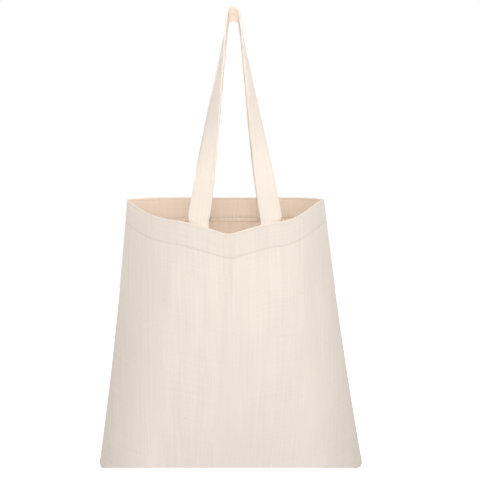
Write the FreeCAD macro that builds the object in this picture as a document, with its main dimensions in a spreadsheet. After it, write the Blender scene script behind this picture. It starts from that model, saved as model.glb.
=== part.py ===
"""Canvas tote bag hung by its two handles from one round peg, with its mouth open.

Millimetres. The origin is on the peg's axis, midway between the two handles.
+X is the bag's right seen from the front, +Y points from the front panel to the back one, +Z is up.

Two rectangles of canvas are sewn along the sides and the bottom. The mouth's edge is turned in as a wide
hem, and a handle of folded canvas is sewn into it at the front and another at the back.
"""

import FreeCAD, Part
import math
import os

Vector = FreeCAD.Vector

FRONT = -1
BACK = 1
LEFT = -1
RIGHT = 1
SIDE_NAMES = {LEFT: "left", RIGHT: "right"}

DIMENSIONS = [
    ("bottom_width", 381, "width across the bottom seam, the full width of the cloth"),
    ("mouth_width", 284, "width between the two corners of the open mouth"),
    ("flare_curve", 12, "how much of the widening comes late, towards the bottom"),
    ("corner_drop", 259, "the mouth's corners below the peg's axis"),
    ("bottom_drop", 646.5, "the bottom seam below the peg's axis"),
    ("mouth_shift", -11.5, "middle of the two corners from the peg, along X"),
    ("bottom_shift", -3.6, "middle of the bottom seam from the peg, along X"),
    ("front_depth", 90, "how far the front of the mouth stands out from the side seams"),
    ("back_depth", 80, "how far the back of the mouth stands out from the side seams"),
    ("front_lean", 15, "sideways set of the front's bulge, towards the right"),
    ("back_lean", 11.5, "sideways set of the back's bulge, towards the right"),
    ("front_sag", 36, "front rim at the handles below the corners"),
    ("centre_dip", 15, "further drop of the front rim between the handles"),
    ("back_rise", 8, "back rim above the corners"),
    ("right_rise", 9, "the most that the front rim's right part stands above an even sag"),
    ("cloth", 0.9, "thickness of one layer of canvas"),
    ("seam_half_gap", 1.1, "outer face of each panel from the mid plane, at the seams"),
    ("layer_gap", 0.15, "air between two layers that are sewn together"),
    ("hem_depth", 38, "depth of the hem that is turned in round the mouth"),
    ("hem_row", 32, "hem stitching below the rim"),
    ("rim_row", 3.5, "rim stitching below the rim"),
    ("seam_allowance", 9, "width of the sewn edges inside the bag"),
    ("seam_inset", 4.5, "sewn edges from the fold of the seam"),
    ("bottom_seam_length", 310, "length of the sewn edge that stands free along the bottom"),
    ("thread_width", 0.7, "width of a row of stitching"),
    ("thread_height", 0.35, "height of a row of stitching above the cloth"),
    ("strap_width", 29, "width of a handle"),
    ("strap_thickness", 2.4, "thickness of a handle, four layers of lighter cloth"),
    ("strap_edge_row", 3, "handle stitching from the handle's edge"),
    ("front_strap_place", 0.335, "front handle's ends, as a share of the half width of the mouth"),
    ("back_strap_place", 0.352, "back handle's ends, as a share of the half width of the mouth"),
    ("hinge_rise", 7, "where a handle starts to swing, above the rim"),
    ("hinge_gap", 0.9, "clear height between a handle and its sewn end"),
    ("hinge_clear", 0.3, "hinge line from the handle's outer face"),
    ("peg_radius", 7, "inner radius of a handle's loop over the peg"),
    ("loop_gap", 1, "air between the two handles' loops on the peg"),
]

doc = FreeCAD.newDocument("canvas_tote_bag")
sheet = doc.addObject("Spreadsheet::Sheet", "dims")
for row, (alias, value, meaning) in enumerate(DIMENSIONS, start=1):
    sheet.set(f"A{row}", meaning)
    sheet.set(f"B{row}", str(value))
    sheet.setAlias(f"B{row}", alias)
doc.recompute()


def dim(alias):
    """A driving dimension, as the spreadsheet holds it."""
    return float(sheet.get(alias))


# Shape constants of the hanging cloth. They have no unit.
PLAN_POWER = 2.8  # the mouth's outline in plan: 2 is a parabola, more is squarer
BELLY = 1.2  # above 1 the panels bulge below the rim before they close to the bottom
SAG_POWER = 4  # how late the rim climbs to the corners
DIP_CENTRE = -0.058  # the dip is a little left of the handles' middle
DIP_REACH = 0.4  # half width of the dip, as a share of the mouth's half width
DIP_ROUND = 0.03  # rounding of the dip's bottom
DIP_POWER = 1.3
RISE_START = 0.36  # the front rim's right part begins to rise here, as a share of the mouth's half width
RISE_POWER = 2.5
TWIST_POWER = 1.35  # a handle turns faster near the rim than near the peg
LEAN_POWER = 1.3  # a handle leaves the peg upright and then leans outward
LEVEL_POWER = 4  # a handle's cross-section comes level only close to its foot

CLOTH = dim("cloth")
GAP = dim("layer_gap")
SAMPLE_STEP = 1e-4


# The shape of the bag's cloth


def half_width(v):
    """Half of the bag's width; v runs from 0 at the mouth's corners to 1 at the bottom."""
    flare = (dim("bottom_width") - dim("mouth_width")) / 2
    late = dim("flare_curve")
    return dim("mouth_width") / 2 + (flare - late) * v + late * v * v


def centre_line(v):
    """X of the middle between the two side seams."""
    return dim("mouth_shift") + (dim("bottom_shift") - dim("mouth_shift")) * v


def bulge(u, v):
    """Share of the mouth's depth at width share u and height share v. It is 0 along the seams."""
    return (1 - abs(u) ** PLAN_POWER) * (1 - v) * (1 + BELLY * v)


def centre_fold(u):
    """The rounded V between the front handle's ends, 1 at its lowest point."""
    away = math.hypot(u - DIP_CENTRE, DIP_ROUND) - DIP_ROUND
    return max(0.0, 1 - away / DIP_REACH) ** DIP_POWER


def early_rise(u):
    """The front rim's right part climbs to its corner early, 1 where that adds the most height."""
    share = max(0.0, (u - RISE_START) / (1 - RISE_START))
    peak = RISE_POWER / (RISE_POWER + 1)
    return share**RISE_POWER * (1 - share) / (peak**RISE_POWER * (1 - peak))


def rim_height(side, u):
    """Z of the rim."""
    middle = 1 - abs(u) ** SAG_POWER
    if side == BACK:
        return -dim("corner_drop") + dim("back_rise") * middle
    low = dim("front_sag") * middle + dim("centre_dip") * centre_fold(u)
    return -dim("corner_drop") - low + dim("right_rise") * early_rise(u)


def outer_face(side):
    """The outer face of a panel as a function of (u, distance below the rim as a share)."""
    depth = dim("front_depth") if side == FRONT else dim("back_depth")
    lean = dim("front_lean") if side == FRONT else dim("back_lean")

    def point(u, v):
        out = bulge(u, v)
        top = rim_height(side, u)
        x = centre_line(v) + half_width(v) * u + lean * out
        y = side * (dim("seam_half_gap") + depth * out)
        z = top - (dim("bottom_drop") + top) * v
        return Vector(x, y, z)

    return point


def below_rim(side, u, distance):
    """The height share that lies that far below the rim."""
    return distance / (rim_height(side, u) + dim("bottom_drop"))


# Closed solids between two offsets of a surface


def offset_point(face, a, b, depth, towards):
    """The point at that depth from the face, along its normal on the side of the point towards."""
    here = face(a, b)
    along_a = face(a + SAMPLE_STEP, b) - face(a - SAMPLE_STEP, b)
    along_b = face(a, b + SAMPLE_STEP) - face(a, b - SAMPLE_STEP)
    normal = along_a.cross(along_b).normalize()
    if normal.dot(towards) < 0:
        normal = normal * -1
    return here + normal * depth


def spread(low, high, count):
    return [low + (high - low) * i / (count - 1) for i in range(count)]


def layer(face, a_values, b_values, near, far, towards):
    """A closed solid: the layer of a face from depth near to depth far.

    b_values and towards may each depend on a.
    """

    def surface(depth):
        rows = []
        for a in a_values:
            column = b_values(a) if callable(b_values) else b_values
            aim = towards(a) if callable(towards) else towards
            rows.append([offset_point(face, a, b, depth, aim) for b in column])
        made = Part.BSplineSurface()
        made.interpolate(rows)
        return made

    near_surface = surface(near)
    far_surface = surface(far)
    u0, u1, v0, v1 = near_surface.bounds()
    faces = [near_surface.toShape(), far_surface.toShape()]
    for value in (u0, u1):
        edges = [s.uIso(value).toShape() for s in (near_surface, far_surface)]
        faces.append(Part.makeRuledSurface(*edges))
    for value in (v0, v1):
        edges = [s.vIso(value).toShape() for s in (near_surface, far_surface)]
        faces.append(Part.makeRuledSurface(*edges))
    shell = Part.makeShell(faces)
    shell.sewShape()
    solid = Part.makeSolid(Part.Shell(shell.Faces))
    if solid.Volume < 0:
        solid.reverse()
    return solid


def add_feature(name, shape):
    feature = doc.addObject("Part::Feature", name)
    feature.Shape = shape
    feature.Placement = FreeCAD.Placement()
    feature.Label = name
    return feature


# Panels, hems and the rows of stitching that hold them


PANEL_COLUMNS = 49
PANEL_ROWS = 15
HEM_COLUMNS = 45
HEM_ROWS = 4
HEM_REACH = 0.97  # the hem's ends stay this share of the way to the side seams
HEM_START = 0.5  # the turned-in layer starts this far below the fold
STITCH_COLUMNS = 61
THREAD_LIFT = 0.12  # air between the thread and the cloth, so that they don't overlap


def make_panel(side, name):
    face = outer_face(side)
    columns = spread(-1, 1, PANEL_COLUMNS)
    rows = spread(0, 1, PANEL_ROWS)
    return add_feature(name, layer(face, columns, rows, 0, CLOTH, Vector(0, -side, 0)))


def band(side, start, end, count):
    """Height shares from start to end millimetres below the rim, as a function of u."""
    return lambda u: [below_rim(side, u, d) for d in spread(start, end, count)]


def make_hem(side, name):
    rows = band(side, HEM_START, dim("hem_depth"), HEM_ROWS)
    columns = spread(-HEM_REACH, HEM_REACH, HEM_COLUMNS)
    near = CLOTH + GAP
    solid = layer(outer_face(side), columns, rows, near, near + CLOTH, Vector(0, -side, 0))
    return add_feature(name, solid)


def make_row(side, distance, name):
    """One row of stitching round the mouth, as the thread that lies on the outside of a panel."""
    half = dim("thread_width") / 2
    rows = band(side, distance - half, distance + half, 2)
    columns = spread(-HEM_REACH, HEM_REACH, STITCH_COLUMNS)
    near = -THREAD_LIFT
    far = near - dim("thread_height")
    solid = layer(outer_face(side), columns, rows, near, far, Vector(0, -side, 0))
    return add_feature(name, solid)


# Sewn edges inside the side seams and the bottom seam


SIDE_START = 0.02
SIDE_END = 0.88
SIDE_SECTIONS = 7


def side_section(side, v, name):
    """A cross-section of a side seam's two turned-in layers, at height share v."""
    section = doc.addObject("Part::Plane", name)
    section.setExpression("Length", "dims.seam_allowance")
    section.setExpression("Width", "2 * dims.cloth")
    outer = centre_line(v) + side * (half_width(v) - dim("seam_inset"))
    left = outer if side == LEFT else outer - dim("seam_allowance")
    height = -dim("corner_drop") - (dim("bottom_drop") - dim("corner_drop")) * v
    section.Placement = FreeCAD.Placement(Vector(left, -CLOTH, height), FreeCAD.Rotation())
    return section


def make_side_seam(side):
    name = f"{SIDE_NAMES[side]}_side_seam"
    seam = doc.addObject("Part::Loft", name)
    seam.Sections = [
        side_section(side, v, f"{name}_section")
        for v in spread(SIDE_START, SIDE_END, SIDE_SECTIONS)
    ]
    seam.Solid = True
    seam.Label = name
    return seam


def make_side_stitching(side):
    """Two rows of thread, one on each face of a side seam's sewn edges."""
    name = f"{SIDE_NAMES[side]}_side_stitching"
    middle = dim("seam_inset") + dim("seam_allowance") / 2
    half = dim("thread_width") / 2

    def mid_plane(inset, v):
        height = -dim("corner_drop") - (dim("bottom_drop") - dim("corner_drop")) * v
        return Vector(centre_line(v) + side * (half_width(v) - inset), 0, height)

    insets = [middle - half, middle + half]
    heights = spread(SIDE_START, SIDE_END, SIDE_SECTIONS)
    near = CLOTH + THREAD_LIFT
    far = near + dim("thread_height")
    rows = [
        layer(mid_plane, insets, heights, near, far, Vector(0, facing, 0))
        for facing in (FRONT, BACK)
    ]
    return add_feature(name, Part.makeCompound(rows))


def bound_box(name, sizes, corner):
    """A box whose sizes and place are expressions of the spreadsheet."""
    made = doc.addObject("Part::Box", name)
    for field, size in zip(("Length", "Width", "Height"), sizes):
        made.setExpression(field, size)
    for axis, place in zip("xyz", corner):
        made.setExpression(f"Placement.Base.{axis}", place)
    made.Label = name
    return made


BOTTOM_LEFT = "dims.bottom_shift - dims.bottom_seam_length / 2"


def make_bottom_seam():
    sizes = ("dims.bottom_seam_length", "2 * dims.cloth", "dims.seam_allowance")
    corner = (BOTTOM_LEFT, "-dims.cloth", "dims.seam_inset - dims.bottom_drop")
    return bound_box("bottom_seam", sizes, corner)


def make_bottom_stitching():
    """Two rows of thread, one on each face of the bottom seam's sewn edges."""
    middle = "dims.seam_inset - dims.bottom_drop + dims.seam_allowance / 2"
    sizes = ("dims.bottom_seam_length", "dims.thread_height", "dims.thread_width")
    front_y = f"-dims.cloth - dims.thread_height - {THREAD_LIFT}"
    back_y = f"dims.cloth + {THREAD_LIFT}"
    rows = [
        bound_box("bottom_row_front", sizes, (BOTTOM_LEFT, front_y, middle)),
        bound_box("bottom_row_back", sizes, (BOTTOM_LEFT, back_y, middle)),
    ]
    both = doc.addObject("Part::Compound", "bottom_stitching")
    both.Links = rows
    both.Label = "bottom_stitching"
    return both


# Handles: each is one folded strap, over the peg and down to the rim on both sides


LEG_STATIONS = 17
LEG_GRADING = 1.3  # stations lie closer together near the peg
LOOP_STATIONS = 19
SEWN_LIFT = 0.1  # air between a sewn end and the hem


def strap_place(side, end):
    """Width share of a handle's end on the mouth."""
    alias = "front_strap_place" if side == FRONT else "back_strap_place"
    return end * dim(alias)


def sewn_depth():
    """Depth of a sewn end's near face, inside the panel and the hem."""
    return 2 * (CLOTH + GAP) + SEWN_LIFT


def foot_point(side, end):
    """Middle of a handle's foot, above its sewn end."""
    inside = sewn_depth() + dim("strap_thickness") / 2
    feet = [
        offset_point(outer_face(side), strap_place(side, e), 0, inside, Vector(0, -side, 0))
        for e in (LEFT, RIGHT)
    ]
    y = (feet[0].y + feet[1].y) / 2
    z = max(rim_height(side, strap_place(side, e)) for e in (LEFT, RIGHT)) + dim("hinge_rise")
    x = feet[0].x if end == LEFT else feet[1].x
    return Vector(x, y, z)


def hinge_line(side):
    """A point of the line that a handle folds out about, along its feet's outer faces."""
    foot = foot_point(side, RIGHT)
    return Vector(0, foot.y + side * (dim("strap_thickness") / 2 + dim("hinge_clear")), foot.z)


def strap_frame(side, s):
    """(middle, width direction, outer normal) at station s of a handle.

    From -1 to 1 the strap lies on the peg; beyond, it runs down a leg and reaches its foot at -2 or 2.
    """
    end = LEFT if s < 0 else RIGHT
    foot = foot_point(side, end)
    radius = dim("peg_radius") + dim("strap_thickness") / 2
    loop_y = side * (dim("loop_gap") + dim("strap_width")) / 2
    lean = math.atan2(abs(foot.x), -foot.z) - math.asin(radius / math.hypot(foot.x, foot.z))
    if abs(s) <= 1:
        angle = math.pi / 2 - s * (math.pi / 2 - lean)
        normal = Vector(math.cos(angle), 0, math.sin(angle))
        return normal * radius + Vector(0, loop_y, 0), Vector(0, 1, 0), normal
    t = abs(s) - 1
    top = Vector(end * radius * math.cos(lean), loop_y, radius * math.sin(lean))
    reach = foot - top
    middle = Vector(top.x + reach.x * t, loop_y + reach.y * t**LEAN_POWER, top.z + reach.z * t)
    slope = reach.y * LEAN_POWER * t ** (LEAN_POWER - 1)
    along = Vector(reach.x, slope, reach.z).normalize()
    turn = math.pi / 2 * t**TWIST_POWER
    flat = Vector(-side * end * math.sin(turn), math.cos(turn), 0)
    level = (1 - t**LEVEL_POWER) * flat.dot(along)
    width = (flat - along * level).normalize()
    return middle, width, along.cross(width).normalize() * end


def leg_stations():
    """Stations of one leg, from the peg down to the foot."""
    return [1 + share**LEG_GRADING for share in spread(0, 1, LEG_STATIONS)]


def strap_stations():
    leg = leg_stations()
    return [-s for s in reversed(leg)] + spread(-1, 1, LOOP_STATIONS)[1:-1] + leg


def make_leg(side, end, name):
    """One leg of a handle: a ruled loft through the strap's cross-sections, because a smooth one overshoots."""
    sections = []
    for s in leg_stations():
        middle, width, normal = strap_frame(side, end * s)
        section = doc.addObject("Part::Plane", f"{name}_section")
        section.setExpression("Length", "dims.strap_width")
        section.setExpression("Width", "dims.strap_thickness")
        corner = middle - width * dim("strap_width") / 2 - normal * dim("strap_thickness") / 2
        turn = FreeCAD.Rotation(width, normal, width.cross(normal), "ZXY")
        section.Placement = FreeCAD.Placement(corner, turn)
        sections.append(section)
    leg = doc.addObject("Part::Loft", name)
    leg.Sections = sections
    leg.Solid = True
    leg.Ruled = True
    return leg


def make_loop(side, name):
    """The round part of a handle that lies on the peg, between the tops of its two legs."""
    first = strap_frame(side, 1)[2]
    last = strap_frame(side, -1)[2]
    sideways = Vector(0, -1, 0)
    turn = FreeCAD.Rotation(first, sideways.cross(first), sideways, "ZXY")
    start = Vector(0, (side * (dim("loop_gap") + dim("strap_width")) + dim("strap_width")) / 2, 0)

    def cylinder(part_name, radius):
        made = doc.addObject("Part::Cylinder", f"{name}_{part_name}")
        made.setExpression("Radius", radius)
        made.setExpression("Height", "dims.strap_width")
        made.Placement = FreeCAD.Placement(start, turn)
        return made

    loop = doc.addObject("Part::Cut", name)
    loop.Base = cylinder("outer", "dims.peg_radius + dims.strap_thickness")
    loop.Base.Angle = math.degrees(first.getAngle(last))
    loop.Tool = cylinder("peg", "dims.peg_radius")
    return loop


def make_handle(side, name):
    handle = doc.addObject("Part::MultiFuse", name)
    handle.Shapes = [
        make_leg(side, LEFT, f"{name}_left_leg"),
        make_loop(side, f"{name}_loop"),
        make_leg(side, RIGHT, f"{name}_right_leg"),
    ]
    handle.Label = name
    return handle


def make_handle_stitching(side, name):
    """Two rows of thread on a handle's outer face, one along each edge."""

    def outer(s, across):
        middle, width, normal = strap_frame(side, s)
        return middle + width * across + normal * dim("strap_thickness") / 2

    half = dim("thread_width") / 2
    edge = dim("strap_width") / 2 - dim("strap_edge_row")
    away = THREAD_LIFT + dim("thread_height")
    rows = []
    for place in (-edge, edge):
        across = [place - half, place + half]
        rows.append(strap_layer(side, outer, across, THREAD_LIFT, away))
    return add_feature(name, Part.makeCompound(rows))


def strap_layer(side, outer, across, near, far):
    """A closed solid that lies on a handle's outer face, between two distances from it."""
    return layer(outer, strap_stations(), across, near, far, lambda s: strap_frame(side, s)[2])


SEWN_COLUMNS = 7
SEWN_ROWS = 20
SEWN_GRADING = 1.8  # rows lie closer together near the top, where the end turns
SEWN_CLEAR = 3  # the sewn end stops this far above the hem's lower edge
SQUARE_OVER = 4  # above the rim the sewn end turns square to the hinge line over this height


def make_sewn_end(side, end, name):
    """The end of a handle, sewn flat against the hem from inside and standing a little above the rim."""
    face = outer_face(side)
    place = strap_place(side, end)
    per_share = (face(place + SAMPLE_STEP, 0) - face(place, 0)).Length / SAMPLE_STEP
    foot = foot_point(side, end)
    towards = Vector(0, -side, 0)
    top = foot.z - dim("hinge_gap")
    bottom = dim("hem_depth") - SEWN_CLEAR

    def near_face(q, share):
        u = place + q / per_share
        above = rim_height(side, u) - top
        below = above + (bottom - above) * share
        point = offset_point(face, u, below_rim(side, u, below), sewn_depth(), towards)
        square = min(1, max(0, -below / SQUARE_OVER))
        square = square * square * (3 - 2 * square)
        flat_y = foot.y + side * dim("strap_thickness") / 2
        return Vector(point.x, point.y + (flat_y - point.y) * square, point.z)

    half = dim("strap_width") / 2
    columns = spread(-half, half, SEWN_COLUMNS)
    rows = [share**SEWN_GRADING for share in spread(0, 1, SEWN_ROWS)]
    return add_feature(name, layer(near_face, columns, rows, 0, dim("strap_thickness"), towards))


# Make every piece, check it and write it


def make_all():
    made = []
    for side, side_name in ((FRONT, "front"), (BACK, "back")):
        made.append(make_panel(side, f"{side_name}_panel"))
        made.append(make_hem(side, f"{side_name}_hem"))
        made.append(make_row(side, dim("hem_row"), f"{side_name}_hem_stitching"))
        made.append(make_row(side, dim("rim_row"), f"{side_name}_rim_stitching"))
        made.append(make_handle(side, f"{side_name}_handle"))
        made.append(make_handle_stitching(side, f"{side_name}_handle_stitching"))
        for end, end_name in SIDE_NAMES.items():
            made.append(make_sewn_end(side, end, f"{side_name}_handle_{end_name}_end"))
    for end in SIDE_NAMES:
        made.append(make_side_seam(end))
        made.append(make_side_stitching(end))
    made.append(make_bottom_seam())
    made.append(make_bottom_stitching())
    return made


pieces = make_all()
doc.recompute()

for item in doc.Objects:
    if "Invalid" in item.State or "Error" in item.State:
        raise RuntimeError(f"{item.Name} failed: {item.State}")

os.makedirs("parts", exist_ok=True)
for piece in pieces:
    shape = piece.Shape
    if shape.isNull() or not shape.isValid() or shape.Volume <= 0:
        raise RuntimeError(f"{piece.Label} has no valid solid")
    shape.exportStep(f"parts/{piece.Label}.step")
    print(f"{piece.Label}: {len(shape.Solids)} solid(s), {shape.Volume:.0f} cubic mm")

for side, side_name in ((FRONT, "front"), (BACK, "back")):
    line = hinge_line(side)
    print(f"{side_name} handle swings about y = {line.y:.2f}, z = {line.z:.2f}")
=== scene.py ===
"""The looks of the canvas tote bag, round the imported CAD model.

The shape functions work in millimetres, and new_piece turns them into Blender's metres. The cloth
follows the same surface as the CAD panels. The folds, the puckers along the seams, the rounded edges and
corners and the separate stitches are added to it.
"""

import math

import bpy
import numpy as np
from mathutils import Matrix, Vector


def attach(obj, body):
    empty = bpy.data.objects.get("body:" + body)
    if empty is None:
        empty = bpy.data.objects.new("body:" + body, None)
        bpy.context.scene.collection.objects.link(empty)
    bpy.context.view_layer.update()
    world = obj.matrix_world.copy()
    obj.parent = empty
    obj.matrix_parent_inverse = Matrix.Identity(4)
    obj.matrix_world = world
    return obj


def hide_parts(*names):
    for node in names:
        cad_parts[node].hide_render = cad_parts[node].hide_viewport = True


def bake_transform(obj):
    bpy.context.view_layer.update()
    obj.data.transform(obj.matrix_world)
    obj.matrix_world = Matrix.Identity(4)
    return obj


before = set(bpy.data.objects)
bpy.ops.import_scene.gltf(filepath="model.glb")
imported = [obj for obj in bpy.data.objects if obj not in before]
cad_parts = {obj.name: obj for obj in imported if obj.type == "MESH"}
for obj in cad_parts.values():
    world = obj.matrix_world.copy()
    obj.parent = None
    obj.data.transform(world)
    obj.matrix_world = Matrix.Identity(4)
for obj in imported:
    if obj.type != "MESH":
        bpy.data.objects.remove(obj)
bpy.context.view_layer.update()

MM = 0.001
FRONT, BACK = -1, 1
LEFT, RIGHT = -1, 1
SIDE_NAMES = {FRONT: "front", BACK: "back"}
END_NAMES = {LEFT: "left", RIGHT: "right"}

# The bag, as in the CAD model, in millimetres

BOTTOM_WIDTH, MOUTH_WIDTH, FLARE_CURVE = 381, 284, 12
CORNER_DROP, BOTTOM_DROP = 259, 646.5
MOUTH_SHIFT, BOTTOM_SHIFT = -11.5, -3.6
DEPTH = {FRONT: 90, BACK: 80}
LEAN = {FRONT: 15, BACK: 11.5}
FRONT_SAG, CENTRE_DIP, BACK_RISE = 36, 15, 8
SEAM_HALF_GAP = 1.1
CLOTH, LAYER_GAP = 0.9, 0.15
HEM_DEPTH, HEM_ROW, RIM_ROW = 38, 32, 3.5
PLAN_POWER, BELLY, SAG_POWER = 2.8, 1.2, 4
DIP_CENTRE, DIP_REACH, DIP_ROUND, DIP_POWER = -0.058, 0.4, 0.03, 1.3
RIGHT_RISE, RISE_START, RISE_POWER = 9, 0.36, 2.5
SEAM_ALLOWANCE, SEAM_INSET = 9, 4.5
BOTTOM_SEAM_LENGTH = 310

STRAP_WIDTH, STRAP_THICKNESS, STRAP_EDGE_ROW = 29, 2.4, 3
STRAP_PLACE = {FRONT: 0.335, BACK: 0.352}
HINGE_RISE = 7
PEG_RADIUS = 7
# the loops hang closer together than in the CAD model, where the gap is 1
LOOP_GAP = 0.3
TWIST_POWER, LEAN_POWER, LEVEL_POWER = 1.35, 1.3, 4
SEWN_DEPTH = 2 * (CLOTH + LAYER_GAP) + 0.1
SEWN_CLEAR = 3
SQUARE_OVER = 4
STEP = 1e-4


def gauss(distance, width):
    return np.exp(-((distance / width) ** 2))


def smooth(value):
    value = np.clip(value, 0, 1)
    return value * value * (3 - 2 * value)


def ripple(t, seed, waves=5, low=0.6, high=2.2):
    """A smooth irregular wave of about unit size. One unit of t is about one wave long."""
    random = np.random.default_rng(seed)
    total = 0
    for _ in range(waves):
        rate, phase = random.uniform(low, high), random.uniform(0, math.tau)
        total = total + np.sin(math.tau * rate * t + phase)
    return total / math.sqrt(waves)


# The cloth's shape


def half_width(v):
    flare = (BOTTOM_WIDTH - MOUTH_WIDTH) / 2
    return MOUTH_WIDTH / 2 + (flare - FLARE_CURVE) * v + FLARE_CURVE * v * v


def centre_line(v):
    return MOUTH_SHIFT + (BOTTOM_SHIFT - MOUTH_SHIFT) * v


def bulge(u, v):
    return (1 - np.abs(u) ** PLAN_POWER) * (1 - v) * (1 + BELLY * v)


def rim_height(side, u):
    middle = 1 - np.abs(u) ** SAG_POWER
    if side == BACK:
        return -CORNER_DROP + BACK_RISE * middle
    away = np.hypot(u - DIP_CENTRE, DIP_ROUND) - DIP_ROUND
    fold = np.clip(1 - away / DIP_REACH, 0, 1) ** DIP_POWER
    share = np.clip((u - RISE_START) / (1 - RISE_START), 0, 1)
    peak = RISE_POWER / (RISE_POWER + 1)
    rise = share**RISE_POWER * (1 - share) / (peak**RISE_POWER * (1 - peak))
    return -CORNER_DROP - FRONT_SAG * middle - CENTRE_DIP * fold + RIGHT_RISE * rise


def outer_face(side, u, v):
    """The CAD panel's outer face: u from -1 to 1 across, v from 0 at the rim to 1 at the bottom."""
    out = bulge(u, v)
    top = rim_height(side, u)
    x = centre_line(v) + half_width(v) * u + LEAN[side] * out
    y = side * (SEAM_HALF_GAP + DEPTH[side] * out)
    z = top - (BOTTOM_DROP + top) * v
    return np.stack(np.broadcast_arrays(x, y, z), axis=-1)


def cross_unit(a, b):
    made = np.cross(a, b)
    return made / np.linalg.norm(made, axis=-1, keepdims=True)


def face_and_normal(side, u, v):
    """The outer face and its outward unit normal."""
    u, v = np.broadcast_arrays(np.asarray(u, float), np.asarray(v, float))
    along_u = outer_face(side, u + STEP, v) - outer_face(side, u - STEP, v)
    along_v = outer_face(side, u, v + STEP) - outer_face(side, u, v - STEP)
    return outer_face(side, u, v), cross_unit(along_u, along_v) * side


# Folds and puckers, as distances out along the normal

# each fold: x at the rim and at the bottom, half width, size outward, and where it starts and ends below
# the rim
FRONT_FOLDS = [
    (-11, -16, 7, 3.2, -30, 100),
    (-33, -42, 8, -3.2, -12, 130),
    (22, 34, 15, -1.8, 0, 150),
    (-86, -112, 9, 1.3, 20, 330),
    (-50, -66, 6, -1.2, 60, 300),
    (-27, -34, 4.5, -0.9, 70, 300),
    (52, 70, 14, 1.2, 10, 260),
    (94, 128, 9, -1.1, 40, 300),
]
BACK_FOLDS = [
    (-2, 4, 16, -2.2, -10, 200),
    (-52, -70, 10, 1.6, 10, 300),
    (50, 64, 12, 1.5, 10, 280),
    (-92, -126, 10, -1.2, 40, 320),
    (88, 116, 9, -1.3, 40, 320),
]
FOLDS = {FRONT: FRONT_FOLDS, BACK: BACK_FOLDS}
FOLD_SEED = {FRONT: 3, BACK: 4}
FADE = 45
PUCKER_WAVE, PUCKER_REACH, PUCKER_SIZE = 17, 8, 0.5
# the bottom seam's puckers against the side seams', and the right seam's start against the left one's
LOW_PUCKER_SHARE, RIGHT_SEAM_START = 0.5, 7
HEM_WAVE, HEM_REACH, HEM_SIZE = 11, 7, 0.22
# the slack's waves are longer down the cloth than across it, and die out towards the rim
SLACK_WAVE, SLACK_STRETCH, SLACK_SIZE, SLACK_FADE = 95, 2.5, 0.9, 60
# over what distance from a seam the puckers, and then every fold, come in
PUCKER_FADE, SIDE_FADE, LOW_FADE = 5, 8, 6


def folds(side, u, d):
    """How far the cloth stands out from the CAD surface, at d millimetres below the rim."""
    height = BOTTOM_DROP + rim_height(side, u)
    v = d / height
    x = centre_line(v) + half_width(v) * u
    out = 0
    for top_x, low_x, width, size, start, end in FOLDS[side]:
        middle = top_x + (low_x - top_x) * v
        come, go = smooth((d - start) / FADE), smooth((end - d) / FADE)
        out = out + size * gauss(x - middle, width) * come * go
    seed = FOLD_SEED[side]
    slack = ripple(x / SLACK_WAVE, seed) * ripple(d / SLACK_WAVE / SLACK_STRETCH, seed + 10)
    out = out + SLACK_SIZE * slack * smooth(d / SLACK_FADE)
    row = gauss(d - HEM_ROW, HEM_REACH)
    out = out + HEM_SIZE * ripple(x / HEM_WAVE, seed + 20) * row
    side_edge = (1 - np.abs(u)) * half_width(v)
    low_edge = height - d
    pucker = PUCKER_SIZE * ripple(d / PUCKER_WAVE + RIGHT_SEAM_START * (u > 0), seed + 30)
    out = out + pucker * np.exp(-side_edge / PUCKER_REACH) * smooth(side_edge / PUCKER_FADE)
    low = LOW_PUCKER_SHARE * PUCKER_SIZE * ripple(x / PUCKER_WAVE, seed + 40)
    out = out + low * np.exp(-low_edge / PUCKER_REACH)
    return out * smooth(side_edge / SIDE_FADE) * smooth(low_edge / LOW_FADE)


CORNER_RADIUS = 11


def round_corner(side, u, d):
    """Moves the points of each bottom corner's square on to a quarter circle."""
    height = BOTTOM_DROP + rim_height(side, u)
    width = half_width(d / height)
    across = (CORNER_RADIUS - (1 - np.abs(u)) * width) / CORNER_RADIUS
    down = (CORNER_RADIUS - (height - d)) / CORNER_RADIUS
    inside = (across > 0) & (down > 0)
    a, b = np.clip(across, 0, 1), np.clip(down, 0, 1)
    new_across = np.where(inside, a * np.sqrt(1 - b * b / 2), across)
    new_down = np.where(inside, b * np.sqrt(1 - a * a / 2), down)
    new_u = np.sign(u) * (1 - CORNER_RADIUS * (1 - new_across) / width)
    return np.where(inside, new_u, u), np.where(
        inside, height - CORNER_RADIUS * (1 - new_down), d
    )


def cloth_point(side, u, d, depth):
    """A point of the hanging cloth: d below the rim and depth inside its outer face."""
    new_u, new_d = round_corner(side, u, d)
    v = new_d / (BOTTOM_DROP + rim_height(side, new_u))
    face, normal = face_and_normal(side, new_u, v)
    return face + normal * (folds(side, u, d) - depth)[..., None]


# Meshes


def new_piece(name, points, faces, material, uvs=None):
    """A mesh object from points in millimetres. uvs are a pair for each point, in millimetres of cloth."""
    mesh = bpy.data.meshes.new(name)
    mesh.from_pydata((np.asarray(points) * MM).tolist(), [], faces)
    if uvs is not None:
        layer = mesh.uv_layers.new(name="cloth")
        corners = np.zeros(len(mesh.loops), np.int32)
        mesh.loops.foreach_get("vertex_index", corners)
        layer.data.foreach_set("uv", (np.asarray(uvs)[corners] * MM).ravel())
    mesh.validate()
    mesh.polygons.foreach_set("use_smooth", [True] * len(mesh.polygons))
    mesh.materials.append(material)
    piece = bpy.data.objects.new(name, mesh)
    bpy.context.scene.collection.objects.link(piece)
    return piece


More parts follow.
